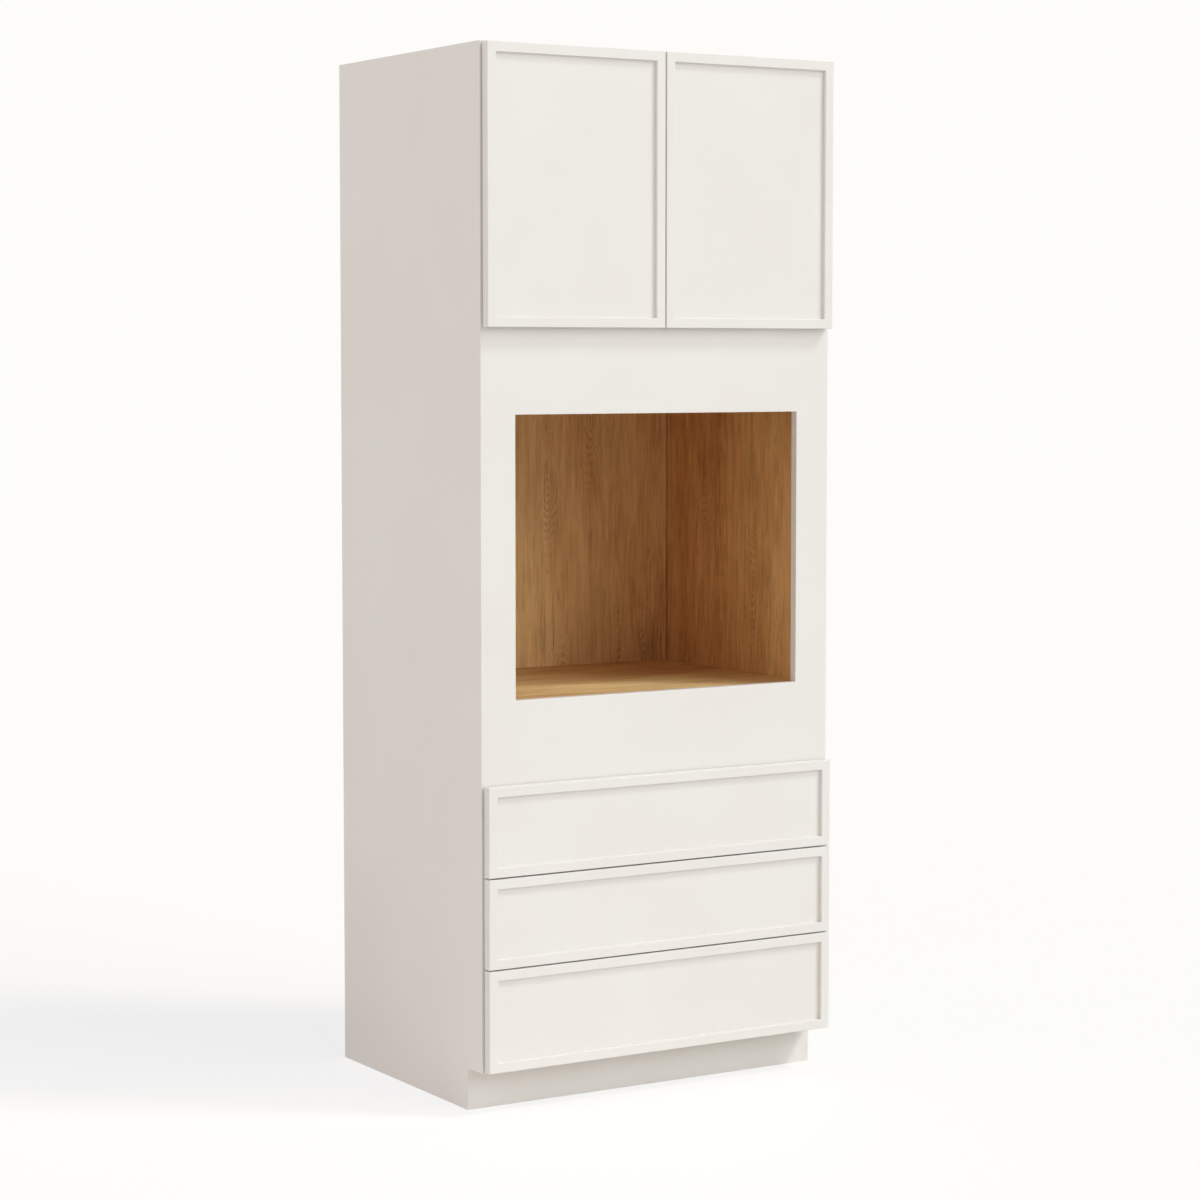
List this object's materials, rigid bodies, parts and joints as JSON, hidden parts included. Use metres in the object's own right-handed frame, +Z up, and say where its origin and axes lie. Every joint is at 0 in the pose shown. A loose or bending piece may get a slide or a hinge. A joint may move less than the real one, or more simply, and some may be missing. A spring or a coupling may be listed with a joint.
{
  "type": "oven pantry cabinet",
  "caption": "Tall painted kitchen cabinet for a built-in oven: slim-framed doors over an open oven bay over framed drawers, on a recessed toe kick.",
  "frame": {"origin": "on the floor, in the middle of the footprint, doors and drawer fronts included", "axes": "+X to the right seen from the front, +Y from the front to the back, +Z up"},
  "size_m": [0.8382, 0.6326, 2.1336],
  "materials": {
    "white_paint": "satin white paint",
    "carcass_board": "satin white paint outside, warm brown wood veneer inside",
    "veneered_board": "clear-coated warm brown wood veneer",
    "drawer_wood": "clear-coated light wood",
    "zinc_steel": "zinc plated",
    "nickel_steel": "nickel plated",
    "bumper_rubber": "soft translucent"
  },
  "bodies": {
    "cabinet": {"adjustable_shelf": "veneered_board", "back_panel": "veneered_board", "bottom_panel": "veneered_board", "bottom_rail": "white_paint", "bumpers": "bumper_rubber", "drawer_rails": "white_paint", "hanging_rails": "veneered_board", "hinge_arms": "nickel_steel", "left_side_panel": "carcass_board", "left_stile": "white_paint", "mounting_screws": "nickel_steel", "oven_fillers": "white_paint", "oven_head_rail": "white_paint", "oven_shelf": "veneered_board", "oven_shelf_cleats": "veneered_board", "oven_sill_rail": "white_paint", "right_side_panel": "carcass_board", "right_stile": "white_paint", "shelf_pins": "nickel_steel", "slide_cabinet_members": "zinc_steel", "slide_spacers": "drawer_wood", "toe_kick_board": "white_paint", "top_panel": "carcass_board", "top_rail": "white_paint", "upper_deck": "veneered_board"},
    "left_door": {"left_door_bottom_rail": "white_paint", "left_door_cup_screws": "nickel_steel", "left_door_hinge_cups": "nickel_steel", "left_door_hinge_stile": "white_paint", "left_door_meeting_stile": "white_paint", "left_door_panel": "white_paint", "left_door_top_rail": "white_paint"},
    "lower_drawer": {"lower_drawer_bottom": "drawer_wood", "lower_drawer_ends": "drawer_wood", "lower_drawer_front_frame": "white_paint", "lower_drawer_front_panel": "white_paint", "lower_drawer_runners": "zinc_steel", "lower_drawer_sides": "drawer_wood"},
    "lower_slides": {"lower_slide_intermediates": "zinc_steel"},
    "middle_drawer": {"middle_drawer_bottom": "drawer_wood", "middle_drawer_ends": "drawer_wood", "middle_drawer_front_frame": "white_paint", "middle_drawer_front_panel": "white_paint", "middle_drawer_runners": "zinc_steel", "middle_drawer_sides": "drawer_wood"},
    "middle_slides": {"middle_slide_intermediates": "zinc_steel"},
    "right_door": {"right_door_bottom_rail": "white_paint", "right_door_cup_screws": "nickel_steel", "right_door_hinge_cups": "nickel_steel", "right_door_hinge_stile": "white_paint", "right_door_meeting_stile": "white_paint", "right_door_panel": "white_paint", "right_door_top_rail": "white_paint"},
    "upper_drawer": {"upper_drawer_bottom": "drawer_wood", "upper_drawer_ends": "drawer_wood", "upper_drawer_front_frame": "white_paint", "upper_drawer_front_panel": "white_paint", "upper_drawer_runners": "zinc_steel", "upper_drawer_sides": "drawer_wood"},
    "upper_slides": {"upper_slide_intermediates": "zinc_steel"}
  },
  "joints": [
    {"name": "left_door_hinge", "type": "hinge", "parent": "cabinet", "child": "left_door", "pos_m": [-0.4078, -0.3041, 1.8531], "axis": [0, 0, -1], "range_deg": [0, 100]},
    {"name": "right_door_hinge", "type": "hinge", "parent": "cabinet", "child": "right_door", "pos_m": [0.4078, -0.3041, 1.8531], "axis": [0, 0, 1], "range_deg": [0, 100]},
    {"name": "upper_drawer_slide", "type": "slide", "parent": "cabinet", "child": "upper_drawer", "axis": [0, -1, 0], "range_m": [0, 0.5]},
    {"name": "upper_slides_extend", "type": "slide", "parent": "cabinet", "child": "upper_slides", "axis": [0, -1, 0], "range_m": [0, 0.25]},
    {"name": "middle_drawer_slide", "type": "slide", "parent": "cabinet", "child": "middle_drawer", "axis": [0, -1, 0], "range_m": [0, 0.5]},
    {"name": "middle_slides_extend", "type": "slide", "parent": "cabinet", "child": "middle_slides", "axis": [0, -1, 0], "range_m": [0, 0.25]},
    {"name": "lower_drawer_slide", "type": "slide", "parent": "cabinet", "child": "lower_drawer", "axis": [0, -1, 0], "range_m": [0, 0.5]},
    {"name": "lower_slides_extend", "type": "slide", "parent": "cabinet", "child": "lower_slides", "axis": [0, -1, 0], "range_m": [0, 0.25]}
  ],
  "couplings": [
    {"joint": "upper_slides_extend", "follows": "upper_drawer_slide", "ratio": 0.5},
    {"joint": "middle_slides_extend", "follows": "middle_drawer_slide", "ratio": 0.5},
    {"joint": "lower_slides_extend", "follows": "lower_drawer_slide", "ratio": 0.5}
  ]
}
